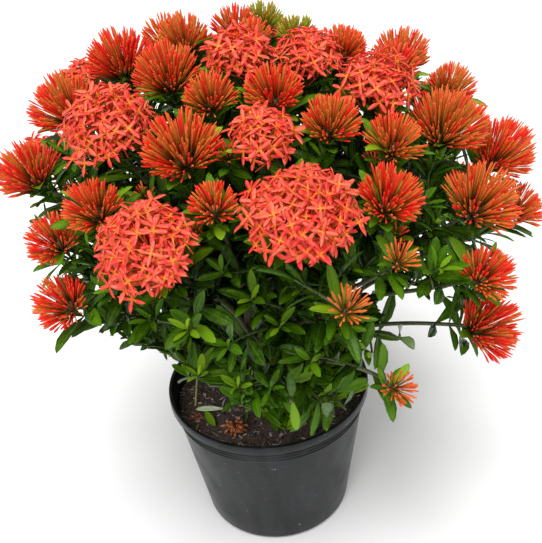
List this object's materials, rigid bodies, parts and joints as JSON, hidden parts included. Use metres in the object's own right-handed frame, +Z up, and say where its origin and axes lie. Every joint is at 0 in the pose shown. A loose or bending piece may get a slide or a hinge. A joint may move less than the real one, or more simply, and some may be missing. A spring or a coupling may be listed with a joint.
{
  "type": "potted ixora plant",
  "caption": "Dwarf ixora in full flower in a round black nursery pot, with a broad dome of red and coral flower heads over glossy leaves.",
  "frame": {"origin": "centre of the underside of the pot, on the surface the pot stands on", "axes": "+Z up; the picture looks along +Y, with +X to its right"},
  "size_m": [0.469, 0.4684, 0.5179],
  "materials": {
    "pot_black": "satin",
    "soil": "matte",
    "leaf_green": "satin",
    "bud_red": "satin",
    "bud_green": "satin",
    "bud_orange": "satin",
    "petal_coral": "satin",
    "fallen_leaf": "matte",
    "fallen_bloom": "matte"
  },
  "bodies": {
    "root": {"bud_head_01": "bud_red", "bud_head_02": "bud_red", "bud_head_03": "bud_red", "bud_head_04": "bud_red", "bud_head_05": "bud_red", "bud_head_06": "bud_red", "bud_head_07": "bud_red", "bud_head_10": "bud_red", "bud_head_11": "bud_red", "bud_head_13": "bud_red", "bud_head_17": "bud_red", "bud_head_18": "bud_red", "bud_head_19": "bud_red", "bud_head_22": "bud_red", "bud_head_23": "bud_red", "bud_head_24": "bud_red", "bud_head_25": "bud_red", "bud_head_26": "bud_red", "bud_head_27": "bud_red", "bud_head_28": "bud_red", "bud_head_29": "bud_red", "bud_head_30": "bud_red", "bud_head_31": "bud_red", "bud_head_35": "bud_red", "bud_head_37": "bud_red", "bud_head_38": "bud_red", "bud_head_39": "bud_red", "bud_head_40": "bud_red", "bud_head_42": "bud_red", "bud_head_44": "bud_red", "bud_head_45": "bud_red", "bud_head_46": "bud_red", "bud_head_48": "bud_red", "bud_head_49": "bud_red", "bud_head_51": "bud_red", "bud_head_52": "bud_red", "bud_head_53": "bud_red", "cane_1": "leaf_green", "cane_2": "leaf_green", "cane_3": "leaf_green", "fallen_bloom": "fallen_bloom", "fallen_leaf": "fallen_leaf", "few_head_32": "bud_orange", "few_head_33": "bud_orange", "few_head_34": "bud_orange", "green_head_14": "bud_green", "green_head_15": "bud_green", "open_head_08": "petal_coral", "open_head_09": "petal_coral", "open_head_12": "petal_coral", "open_head_16": "petal_coral", "open_head_20": "petal_coral", "open_head_21": "petal_coral", "open_head_36": "petal_coral", "open_head_41": "petal_coral", "open_head_43": "petal_coral", "open_head_47": "petal_coral", "open_head_50": "petal_coral", "pot": "pot_black", "soil": "soil"}
  },
  "joints": []
}
